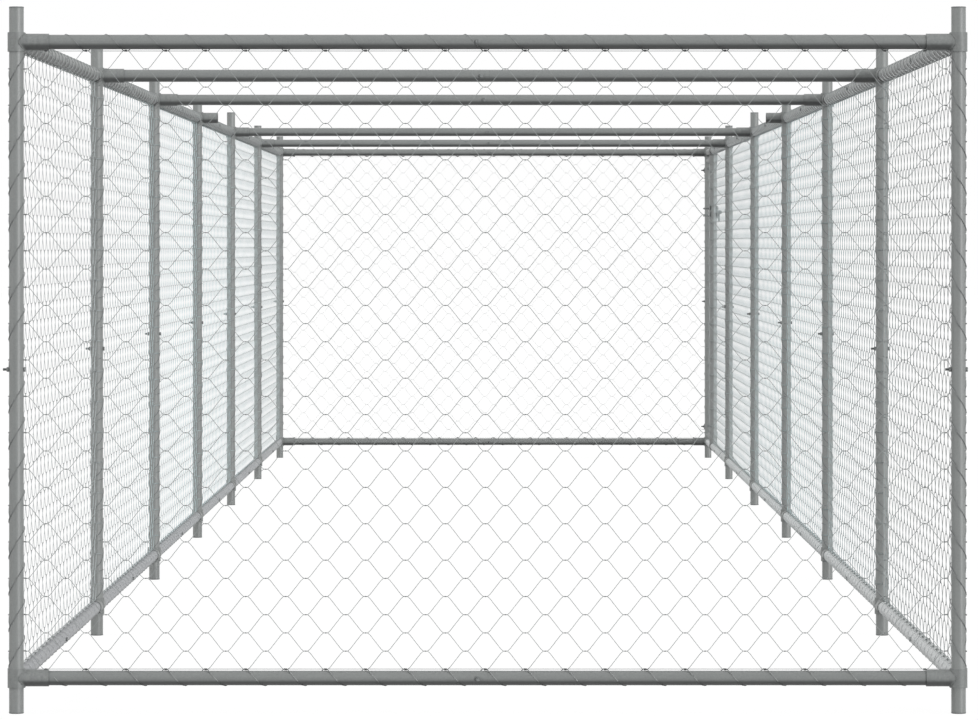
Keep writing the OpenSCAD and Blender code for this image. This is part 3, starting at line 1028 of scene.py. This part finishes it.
    def rail_ties(self) -> Shell:
        """Tie wire wound along both rails, one right-handed turn to each outer hook.

        A turn lies on the rail and swells to take in the hook by the sixth power of a share near, which is
        one and the cosine of the angle from the hook, halved. Its painted shade at the hook follows the
        fourteenth power. Near the rail's bolt the winding shifts along to pass beside it, by a bell curve.
        It stops short of the sockets.

        Returns:
            Both windings.
        """
        pitch = 2 * self.column
        hook_s = self.lead + self.column
        turns = (self.span - 2 * self.room) / pitch
        base = np.linspace(self.room, self.span - self.room, int(turns * self.turn_steps) + 1)
        s = base
        if self.bolt is not None:
            crossing = hook_s - pitch / 4 + pitch * round((self.bolt - hook_s + pitch / 4) / pitch)
            miss = crossing - self.bolt
            shift = math.copysign(max(0.0, self.bolt_room - abs(miss)), miss)
            s = base + shift * np.exp(-(((base - crossing) / self.bolt_spread) ** 2))
        from_hook = TURN * (base - hook_s) / pitch
        near = (1 + np.cos(from_hook)) / 2
        thick = np.array([self.low_tie, self.tie])[:, None]
        on_rail = self.rail_r + thick / 2 - self.sunk
        on_hook = self.edge_gap + self.wire / 2 + thick / 2
        reach = on_rail + np.maximum(on_hook - on_rail, 0) * near**6
        angle = from_hook + np.array([0.0, np.pi])[:, None]
        height = np.array(self.rails)[:, None]
        paths = self.placed(s, -np.sin(angle) * reach, height + np.cos(angle) * reach)
        # Painted shade of the ties: full at each hook, and elsewhere between each rail's far and near levels
        far_shade, near_shade = np.array([self.low_shade, self.top_shade]).T[..., None]
        painted_shade = np.maximum(near**14, far_shade + (near_shade - far_shade) * near)
        return swept(paths, paths - self.placed(s, 0.0, height), thick / 2, painted_shade=painted_shade)

    def bindings(self) -> Shell:
        """Turns of tie wire bound round each outer hook, as a short bar whose radius ripples once to a turn.

        Returns:
            The bindings of both edges.
        """
        along = np.linspace(-0.5, 0.5, 2 * self.binding_turns + 1)
        hooks = self.lead + self.column * np.arange(1, self.columns, 2)
        s = np.tile(hooks, 2)[:, None] + along * self.binding
        z = np.repeat([self.top, self.bottom], len(hooks))[:, None]
        ripple = self.binding_ripple * np.cos(along * self.binding_turns * TURN)
        radius = self.wire + self.binding_wall + ripple
        return swept(self.placed(s, 0.0, z), UP, radius, painted_shade=self.binding_shade)

    def upright_ties(self) -> list[Shell]:
        """Tie wire wound down both uprights, one turn to each outermost hook, over the wire ends.

        Its height falls evenly with the angle from the panel, with a cosine of that angle added that makes
        it steep on one side and nearly level on the other. It lies on the tube's far side, and a little more
        than a wire's thickness further out on the side of the panel.

        Returns:
            One winding for each stretch of an upright that is free for it.
        """
        made = []
        pitch = 2 * self.step
        inner = self.top - self.step + self.lash_rise - self.sway
        for upright, home, way in ((self.first, 0.0, 1), (self.last, self.span, -1)):
            for low, high in upright.ties:
                begin, end = (TURN * (inner - z) / pitch for z in (high, low))
                angle = np.linspace(begin, end, int((high - low) / pitch * self.lash_steps) + 1)
                ahead, aside = np.cos(angle), upright.spin * np.sin(angle)
                z = inner - pitch * angle / TURN + self.sway * ahead
                over = np.interp(ahead, self.over_from, (0, self.over_ends * self.wire))
                reach = upright.radius + over + self.lashing / 2 - self.sunk
                paths = self.placed(home + way * ahead * reach, aside * reach, z)[None]
                outward = -math.copysign(1, self.start[0]) * aside
                # Painted shade, darker away from the panel, with painted light on the run's outward side
                painted_shade = np.clip(self.grime_and_shade - self.shade_swing * ahead - self.painted_light * outward, 0, 1)
                made.append(swept(paths, paths - self.placed(home, 0.0, z), self.lashing / 2, painted_shade=painted_shade))
        return made

    def build(self) -> None:
        """Makes the panel one piece in place of its node, and its ties a second one."""
        mesh = Shell.join([self.wires(), self.straining_wires()])
        mesh.piece(self.name, self.body, Slot.WIRE, self.finish, (self.node,))
        ties = Shell.join([self.rail_ties(), self.bindings(), *self.upright_ties()])
        ties.piece(f"{self.name}_ties", self.body, Slot.WIRE, self.tie_finish)


@dataclass
class Panels:
    """All chain-link panels of the run.

    Each name that ends in free gives the heights of an upright that other parts leave free for tie wire.
    """

    front_lead: float = 20.3 * MM
    front_ends: tuple[Upright, Upright] = (
        Upright(far=216.0, drop=25 * MM),
        Upright(far=215.0, drop=26 * MM, slant=True),
    )
    back_wire: float = 1.0 * MM
    right_wire: float = 1.4 * MM
    side_tie: float = 2.6 * MM
    left_low_tie: float = 1.5 * MM
    right_low_tie: float = 1.9 * MM
    side_lashing: float = 1.5 * MM
    gate_lead: float = 26.2 * MM
    gate_edge_gap: float = 15 * MM
    gate_rows: int = 32
    gate_tie: float = 1.6 * MM
    gate_room: float = 26 * MM
    clamp_free: Spans = ((168 * MM, 700 * MM), (762 * MM, 1320 * MM))
    keeper_free: Spans = ((150 * MM, 1094 * MM), (1184 * MM, 1350 * MM))
    latch_free: Spans = ((140 * MM, 1096 * MM), (1184 * MM, 1362 * MM))
    hinge_free: Spans = ((172 * MM, 1328 * MM),)

    def ends(self) -> list[ChainLink]:
        """Panels of the two short ends.

        Returns:
            The front and the back panel.
        """
        front = ChainLink(
            "front_chain_link", "front_mesh", Axis.X, (-HALF_WIDTH, POST_Y[0]),
            *self.front_ends, lead=self.front_lead,
        )
        back = ChainLink(
            "back_chain_link", "back_mesh", Axis.X, (-HALF_WIDTH, POST_Y[-1]),
            last=Upright(ties=self.clamp_free), finish=PALE_WIRE, wire=self.back_wire,
        )
        return [front, back]

    def sides(self) -> list[ChainLink]:
        """Panels of the two long walls, up to the gate post on the right.

        Returns:
            The panels from the front to the back, a left and a right one in turn.
        """
        made = []
        # Side ties: painted highlight in the light finish, painted shade and light on the rails and uprights
        tying = {
            "tie": self.side_tie, "lashing": self.side_lashing, "tie_finish": PAINTED_LIGHT_SIDE_TIE,
            "top_shade": (0.78, 0.16), "grime_and_shade": 0.8, "painted_light": 0.7,
        }
        for bay, y in enumerate(POST_Y[:-1], 1):
            final = bay == BAYS
            tied = {"ties": ()} if bay == 1 else {}
            # Ties on the low rails get painted shade: on the left near the hooks, on the right away from
            # them
            left = ChainLink(
                f"left_chain_link_{bay}", f"left_mesh_{bay}", Axis.Y, (-HALF_WIDTH, y),
                Upright(**tied), Upright(wrap=1 if final else -1, spin=1),
                finish=SIDE_WIRE, low_tie=self.left_low_tie, low_shade=(0.0, 0.3), **tying,
            )
            right = ChainLink(
                f"right_chain_link_{bay}", f"right_mesh_{bay}", Axis.Y, (HALF_WIDTH, y),
                Upright(wrap=-1, spin=1, **tied), Upright(ties=self.keeper_free) if final else Upright(),
                span=GATE_POST_Y - y if final else BAY, wire=self.right_wire,
                low_tie=self.right_low_tie, low_shade=(0.45, 0.0), **tying,
            )
            made += [left, right]
        return made

    def gate(self) -> ChainLink:
        """Panel of the gate leaf."""
        return ChainLink(
            "gate_chain_link", "gate_mesh", Axis.Y, (HALF_WIDTH, LATCH_STILE_Y),
            Upright(ties=self.latch_free), Upright(ties=self.hinge_free), Body.GATE,
            span=HINGE_STILE_Y - LATCH_STILE_Y, lead=self.gate_lead, rails=LEAF_RAIL_Z, rail_r=LEAF_RAIL_R,
            edge_gap=self.gate_edge_gap, rows=self.gate_rows, bolt=None, room=self.gate_room,
            tie=self.gate_tie, low_tie=self.gate_tie, lashing=self.gate_tie,
        )

    def build(self) -> None:
        """Makes every panel."""
        for panel in (*self.ends(), *self.sides(), self.gate()):
            panel.build()


@dataclass(frozen=True)
class Branch:
    """Round tube that is welded on the side of a sleeve or stile.

    It has the middle of its sleeve, its own direction, whether another branch stands beside it on either
    side, and the sleeve's direction.
    """

    centre: Vector
    out: Vector
    beside: tuple[bool, bool] = (False, False)
    sleeve: Vector = (0.0, 0.0, 1.0)


@dataclass
class Welds:
    """Weld beads where a round branch meets a round sleeve or stile, and those of the latch plate."""

    bead: float = 1.5 * MM
    ripple: float = 0.1
    ripples: int = 20
    steps: int = 40
    plate_bead: float = 1.3 * MM
    plate_ripple: float = 0.12
    plate_turn: float = 2.4
    plate_points: int = 13
    plate_reach: float = 8 * MM
    plate_rise: float = 13.4 * MM
    plate_off: float = 0.3 * MM

    def beads(self, branches: list[Branch], sleeve_r: float, branch_r: float) -> Shell:
        """Beads along the lines where branches meet their sleeves.

        On the branch's circle with across = r sin a and up = r cos a, the bead stands off the sleeve's axis
        by the root of R squared less across squared. Towards a branch beside it, it stands off by across
        where that is more, which is the mitre of the two. The bead's radius ripples.

        Args:
            branches: Branches to weld on.
            sleeve_r: Radius R of the sleeves.
            branch_r: Radius r of the branches.

        Returns:
            All the beads.
        """
        centre = np.array([b.centre for b in branches])[:, None]
        out = np.array([b.out for b in branches])[:, None]
        up = np.array([b.sleeve for b in branches])[:, None]
        beside = np.array([b.beside for b in branches])
        angle = np.arange(self.steps) * TURN / self.steps
        across = branch_r * np.sin(angle)
        mitre = np.where(across > 0, beside[:, :1], beside[:, 1:]) * np.abs(across)
        off = np.maximum(np.sqrt(sleeve_r**2 - across**2), mitre)[..., None]
        rise = (branch_r * np.cos(angle))[:, None]
        paths = centre + off * out + across[:, None] * np.cross(up, out) + rise * up
        radius = self.bead * (1 + self.ripple * np.sin(angle * self.ripples))
        return swept(paths, out, radius, closed=True)

    def fitting_sockets(self) -> list[Branch]:
        """All sockets of the frame's fittings.

        Returns:
            Sockets of the fittings on the posts, and then of the tees at the gate post.
        """
        made = []
        for x in (-HALF_WIDTH, HALF_WIDTH):
            for i, y in enumerate(POST_Y):
                for z in RAIL_Z:
                    ahead, behind = i < BAYS, i > 0
                    crossed = not (ahead and behind) or z == RAIL_Z[1]
                    inward = (-math.copysign(1, x), 0.0, 0.0)
                    ways = ((0.0, 1.0, 0.0), ahead), ((0.0, -1.0, 0.0), behind), (inward, crossed)
                    here = [way for way, used in ways if used]
                    for way in here:
                        side = np.cross(UP, way)
                        made.append(Branch((x, y, z), way, (tuple(side) in here, tuple(-side) in here)))
        for z, lift in zip(RAIL_Z, (1.0, -1.0)):
            made.append(Branch((HALF_WIDTH, GATE_POST_Y, z), (0.0, 0.0, lift), sleeve=(0.0, 1.0, 0.0)))
        return made

    def leaf_corners(self) -> list[Branch]:
        """Rails of the gate leaf, where they meet its stiles.

        Returns:
            Each end of the two rails.
        """
        ends = ((LATCH_STILE_Y, 1.0), (HINGE_STILE_Y, -1.0))
        corners = [(y, way, z) for y, way in ends for z in LEAF_RAIL_Z]
        return [Branch((HALF_WIDTH, y, z), (0.0, way, 0.0)) for y, way, z in corners]

    def latch_plate(self) -> Shell:
        """Two short beads that hold the latch plate on its stile, along the stile's round face.

        Returns:
            Both beads.
        """
        y = np.linspace(-self.plate_reach, self.plate_reach, self.plate_points)
        x = HALF_WIDTH + np.sqrt(TUBE_R**2 - y**2) + self.plate_off
        z = LATCH_Z + np.array([-self.plate_rise, self.plate_rise])[:, None]
        paths = np.stack(np.broadcast_arrays(x, LATCH_STILE_Y + y, z), -1)
        ripple = np.sin(np.arange(self.plate_points) * self.plate_turn)
        radius = self.plate_bead * (1 + self.plate_ripple * ripple)
        return swept(paths, UP, radius)

    def build(self) -> None:
        """Makes the beads of the fittings and those of the gate leaf."""
        fittings = self.beads(self.fitting_sockets(), SLEEVE_R, SOCKET_R)
        fittings.piece("fitting_welds", Body.FRAME, Slot.FITTING, WELD)
        leaf = Shell.join([self.beads(self.leaf_corners(), TUBE_R, LEAF_RAIL_R), self.latch_plate()])
        leaf.piece("gate_welds", Body.GATE, Slot.TUBE, WELD)


@dataclass
class BoltSet:
    """Bolts of one kind: their middles, the directions of their heads, what they hold, and their length."""

    name: str
    node: str
    centres: list[Vector]
    ways: list[Vector]
    grip: float
    length: float


@dataclass
class Fasteners:
    """Bolts and nuts with chamfered six-sided heads and cut threads.

    A head's chamfer is chamfer high and passes a place that cone gives, by its reach past the round face
    and its drop. Washer gives the heights of the washer face's edge and of the hexagon over it. The thread
    starts in_nut inside the nut and stops at the bolt's point.
    """

    flats: float = 10 * MM
    shank: float = 3 * MM
    head: float = 4 * MM
    nut: float = 5 * MM
    tail: float = 8 * MM
    seat: float = 0.1 * MM
    pitch: float = 1 * MM
    thread_depth: float = 0.55 * MM
    in_nut: float = 1.5 * MM
    point: float = 0.8 * MM
    face_share: float = 0.95
    cone: tuple[float, float] = (0.45 * MM, 0.28 * MM)
    chamfer: float = 0.55 * MM
    washer: tuple[float, float] = (0.35 * MM, 0.5 * MM)
    bore_play: float = 0.05 * MM
    bore_flare: float = 0.4 * MM
    eye_nut_flats: float = 13 * MM
    eye_nut_bore: float = 4.05 * MM
    eye_nut: float = 6.5 * MM
    clamp_bolt_drop: float = 6.3 * MM
    keeper_r: float = 19.8 * MM
    keeper_bolt_rise: float = 16.5 * MM
    keeper_bolt_reach: float = 47 * MM
    sides: int = 18
    crease: float = 25.0

    def hexagon(self, flats: float) -> np.ndarray:
        """Reach of a hexagon at each angle: half the flats over the cosine of the angle to its face."""
        angle = np.arange(self.sides) * TURN / self.sides
        return flats / 2 / np.cos((angle + TURN / 12) % (TURN / 6) - TURN / 12)

    @staticmethod
    def axes(ways: list[Vector]) -> np.ndarray:
        """Right-handed axes of bolts whose heads point the given ways, with their flats up and down."""
        return np.stack([np.stack([UP, np.cross(way, UP), way]) for way in ways])

    def bolts(self, bolt: BoltSet) -> Shell:
        """Bolts through something of the given thickness.

        The head's outline is the lesser of the hexagon and a cone that chamfers its corners, over a round
        washer face. The thread's radius falls by its depth and rises again once to each pitch.

        Args:
            bolt: What the bolts are.

        Returns:
            All the bolts.
        """
        six = self.hexagon(self.flats)
        face = self.flats / 2 * self.face_share
        length = bolt.length
        start = length - self.tail - self.in_nut
        half = self.pitch / 2
        steps = range(int((length - start - self.point) / half))
        thread = [(self.shank - self.thread_depth * (i % 2), -start - i * half) for i in steps]
        profile = [
            (0.0, self.head),
            (np.minimum(six, face), self.head),
            (np.minimum(six, face + self.cone[0]), self.head - self.cone[1]),
            (six, self.head - self.chamfer),
            (six, self.washer[1]),
            (face, self.washer[0]),
            (face, 0.0),
            (self.shank, 0.0),
            *thread,
            (self.shank - self.point / 4, self.point * 3 / 4 - length),
            (self.shank - self.point, -length),
            (0.0, -length),
        ]
        lift = bolt.grip / 2 + self.seat
        profile = [(reach, height + lift) for reach, height in profile]
        return turned_solids(profile, self.sides, bolt.centres, self.axes(bolt.ways), hole=False)

    def nuts(
        self, centres: list[Vector], ways: list[Vector], flats: float, bore: float, thick: float
    ) -> Shell:
        """Nuts, each with its middle at a centre.

        The outline is the lesser of the hexagon and a cone at each face, and goes back through the bore.

        Args:
            centres: Middle of each nut.
            ways: Direction of each nut's axis.
            flats: Width across the flats.
            bore: Radius of the hole.
            thick: Thickness.

        Returns:
            All the nuts.
        """
        six = self.hexagon(flats)
        face = np.minimum(six, flats / 2 * self.face_share)
        mouth = bore + self.bore_flare
        top, shoulder = thick / 2, thick / 2 - self.chamfer
        profile = [
            (mouth, top), (face, top), (six, shoulder), (six, -shoulder),
            (face, -top), (mouth, -top), (bore, -shoulder), (bore, shoulder),
        ]
        return turned_solids(profile, self.sides, centres, self.axes(ways), hole=True)

    def joints(self) -> tuple[list[Vector], list[Vector]]:
        """Places of the bolts at the tube joints.

        Returns:
            Their middles, and the directions of their heads.
        """
        made = []
        for x in (-HALF_WIDTH, HALF_WIDTH):
            inward = (-math.copysign(1, x), 0.0, 0.0)
            made += [((x, y, POST_JOINT_Z), (1.0, 0.0, 0.0)) for y in POST_Y]
            made += [((x, y + RAIL_JOINT, z), inward) for y in POST_Y[:-1] for z in RAIL_Z]
        for i, y in enumerate(POST_Y):
            for z in RAIL_Z:
                if i in (0, BAYS) or (z == RAIL_Z[1] and i != BAYS // 2):
                    made.append(((CROSS_JOINT_X, y, z), (0.0, -1.0, 0.0)))
        return [centre for centre, _ in made], [way for _, way in made]

    def bolt_sets(self) -> list[BoltSet]:
        """Bolts of the tube joints, the hinge clamps and the keeper.

        Returns:
            One set for each kind.
        """
        ways = [(1.0, 0.0, 0.0)] * 2
        clamps = [(HALF_WIDTH, POST_Y[-1], z - self.clamp_bolt_drop) for z in HINGE_Z]
        keepers = [(HALF_WIDTH, GATE_POST_Y, LATCH_Z + k * self.keeper_bolt_rise) for k in (-1, 1)]
        tube, clamp, keeper = 2 * TUBE_R, 2 * SLEEVE_R, 2 * self.keeper_r
        past_nut = 2 * self.seat + self.nut + self.tail
        keeper_length = self.keeper_r + self.seat + self.keeper_bolt_reach
        return [
            BoltSet("joint_bolts", "frame_bolts", *self.joints(), tube, tube + past_nut),
            BoltSet("clamp_bolts", "hinge_clamp_bolts", clamps, ways, clamp, clamp + past_nut),
            BoltSet("keeper_plate_bolts", "keeper_bolts", keepers, ways, keeper, keeper_length),
        ]

    def far_nuts(self, bolt: BoltSet) -> Shell:
        """Nuts on the far side of some bolts.

        Args:
            bolt: What the bolts are.

        Returns:
            All the nuts.
        """
        back = bolt.grip / 2 + self.seat + self.nut / 2
        centres = [tuple(c - back * w for c, w in zip(*pair)) for pair in zip(bolt.centres, bolt.ways)]
        return self.nuts(centres, bolt.ways, self.flats, self.shank + self.bore_play, self.nut)

    def build(self) -> None:
        """Makes the bolts and nuts of the frame, the hinges and the keeper, and the eye bolts' nuts."""
        sets = self.bolt_sets()
        look = Slot.FASTENER, FASTENER
        for bolt in sets:
            self.bolts(bolt).piece(bolt.name, Body.FRAME, *look, (bolt.node,), self.crease)
        nuts = Shell.join([self.far_nuts(bolt) for bolt in sets])
        nuts.piece("joint_nuts", Body.FRAME, *look, ("frame_nuts",), self.crease)
        off = TUBE_R + self.seat + self.eye_nut / 2
        eyes = [(HALF_WIDTH, HINGE_STILE_Y + k * off, z) for z in HINGE_Z for k in (-1, 1)]
        ways = [(0.0, 1.0, 0.0)] * len(eyes)
        eye_nuts = self.nuts(eyes, ways, self.eye_nut_flats, self.eye_nut_bore, self.eye_nut)
        eye_nuts.piece("eye_bolt_nuts", Body.GATE, *look, ("hinge_eye_nuts",), self.crease)


@dataclass
class Dressing:
    """Finishes of the frame's own nodes, and eased edges on its small plates."""

    ease: float = 0.5 * MM
    segments: int = 2
    merge: float = 0.01 * MM
    sharp: float = 40.0
    plates: tuple[str, ...] = ("hinge_clamps", "latch_body", "latch_keeper", "gate_stop")
    bars: tuple[str, ...] = ("hinge_pins", "hinge_eye_bolts", "latch_bolt")

    def finish_of(self, node: str) -> Finish:
        """Picks a node's finish by what it is.

        Args:
            node: Name of a node of the frame.

        Returns:
            Its finish.
        """
        if node == "post_caps":
            return CAP
        if node in self.bars:
            return FASTENER
        if node in self.plates or node.endswith("fittings"):
            return FITTING
        if node in SHEEN_LOW_RAILS:
            return SHEEN_LOW_RAILS[node]
        if node.startswith(("left_", "right_")):
            return TUBE_ALONG[Axis.Y]
        if node.startswith(("front_", "back_", "cross_")):
            return TUBE_ALONG[Axis.X]
        return TUBE_ALONG[Axis.Z]

    def build(self) -> None:
        """Dresses every node of the frame, and eases the edges of the plates and bars."""
        for name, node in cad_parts.items():
            finish = self.finish_of(name)
            finish.dress(node)
            LOG.info("%s: %s", name, finish.name)
        for name in (*self.plates, *self.bars):
            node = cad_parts[name]
            weld = node.modifiers.new("joined_faces", "WELD")
            weld.merge_threshold = self.merge
            edge = node.modifiers.new("eased_edges", "BEVEL")
            edge.width = self.ease
            edge.segments = self.segments
            edge.limit_method = "ANGLE"
            edge.angle_limit = math.radians(self.sharp)


@dataclass(frozen=True)
class Lamp:
    """Broad, far lamp.

    It stands turn degrees to the right of the camera, seen from the run, and lift degrees above the ground.
    Strength is its light on a surface that faces it, and spread is its width in degrees.
    """

    name: str
    turn: float
    lift: float
    strength: float
    spread: float

    def build(self) -> None:
        """Adds the lamp to the scene."""
        data = bpy.data.lights.new(self.name, "SUN")
        data.energy = self.strength
        data.angle = math.radians(self.spread)
        thing = added(self.name, data)
        thing.rotation_euler = (math.radians(90 - self.lift), 0.0, math.radians(self.turn))


@dataclass
class Studio:
    """White floor and surround, soft light and the camera at the photograph's viewpoint."""

    floor_size: float = 150.0
    floor_points: int = 5
    floor_drop: float = 0.2 * MM
    surround_light: float = 0.39
    camera_at: Vector = (0.025, -16.0, 0.995)
    lens: float = 173.4
    sensor: float = 36.0
    shift: tuple[float, float] = (-0.0105, -0.118)
    view_end: float = 500.0
    lamps: tuple[Lamp, ...] = (
        Lamp("key_lamp", turn=44.0, lift=6.0, strength=1.5, spread=15.0),
        Lamp("right_fill", turn=78.0, lift=24.0, strength=0.5, spread=60.0),
        Lamp("left_fill", turn=-72.0, lift=12.0, strength=1.45, spread=70.0),
    )

    def floor(self) -> None:
        """Adds a large flat floor, a square grid just under the ground that the run stands on."""
        count = self.floor_points
        x, y = np.meshgrid(*[np.linspace(-0.5, 0.5, count) * self.floor_size] * 2)
        points = np.stack([x, y, np.full_like(x, -self.floor_drop)], -1)
        index = np.arange(count**2).reshape(count, count)
        quads = np.stack([index[:-1, :-1], index[:-1, 1:], index[1:, 1:], index[1:, :-1]], -1)
        mesh = bpy.data.meshes.new("floor")
        mesh.from_pydata(points.reshape(-1, 3).tolist(), [], quads.reshape(-1, 4).tolist())
        thing = added("floor", mesh)
        FLOOR.dress(thing)

    def surround(self) -> None:
        """Sets a white world: full white where it is seen, and a plain level of light otherwise."""
        world = bpy.data.worlds.new("white_surround")
        bpy.context.scene.world = world
        world.use_nodes = True
        graph = Graph(world.node_tree)
        strength = self.surround_light + graph.seen() * (1 - self.surround_light)
        sockets = {"Color": (1.0, 1.0, 1.0, 1.0), "Strength": strength}
        light = graph.node("ShaderNodeBackground", {}, sockets)
        graph.node("ShaderNodeOutputWorld", {}, {"Surface": light})

    def camera(self) -> None:
        """Adds the camera, level and looking along the run."""
        data = bpy.data.cameras.new("camera")
        data.lens = self.lens
        data.sensor_width = self.sensor
        data.sensor_fit = "HORIZONTAL"
        data.shift_x, data.shift_y = self.shift
        data.clip_end = self.view_end
        thing = added("camera", data)
        thing.location = self.camera_at
        thing.rotation_euler = (math.radians(90), 0.0, 0.0)
        bpy.context.scene.camera = thing

    def build(self) -> None:
        """Sets up the whole studio."""
        bpy.context.scene.view_settings.view_transform = "Standard"
        self.camera()
        self.floor()
        self.surround()
        for lamp in self.lamps:
            lamp.build()


def main() -> None:
    """Builds the run's looks in order and notes its size."""
    logging.basicConfig(level=logging.INFO, format="%(name)s %(message)s")
    Studio().build()
    Dressing().build()
    Panels().build()
    Welds().build()
    Fasteners().build()


if __name__ == "__main__":
    main()
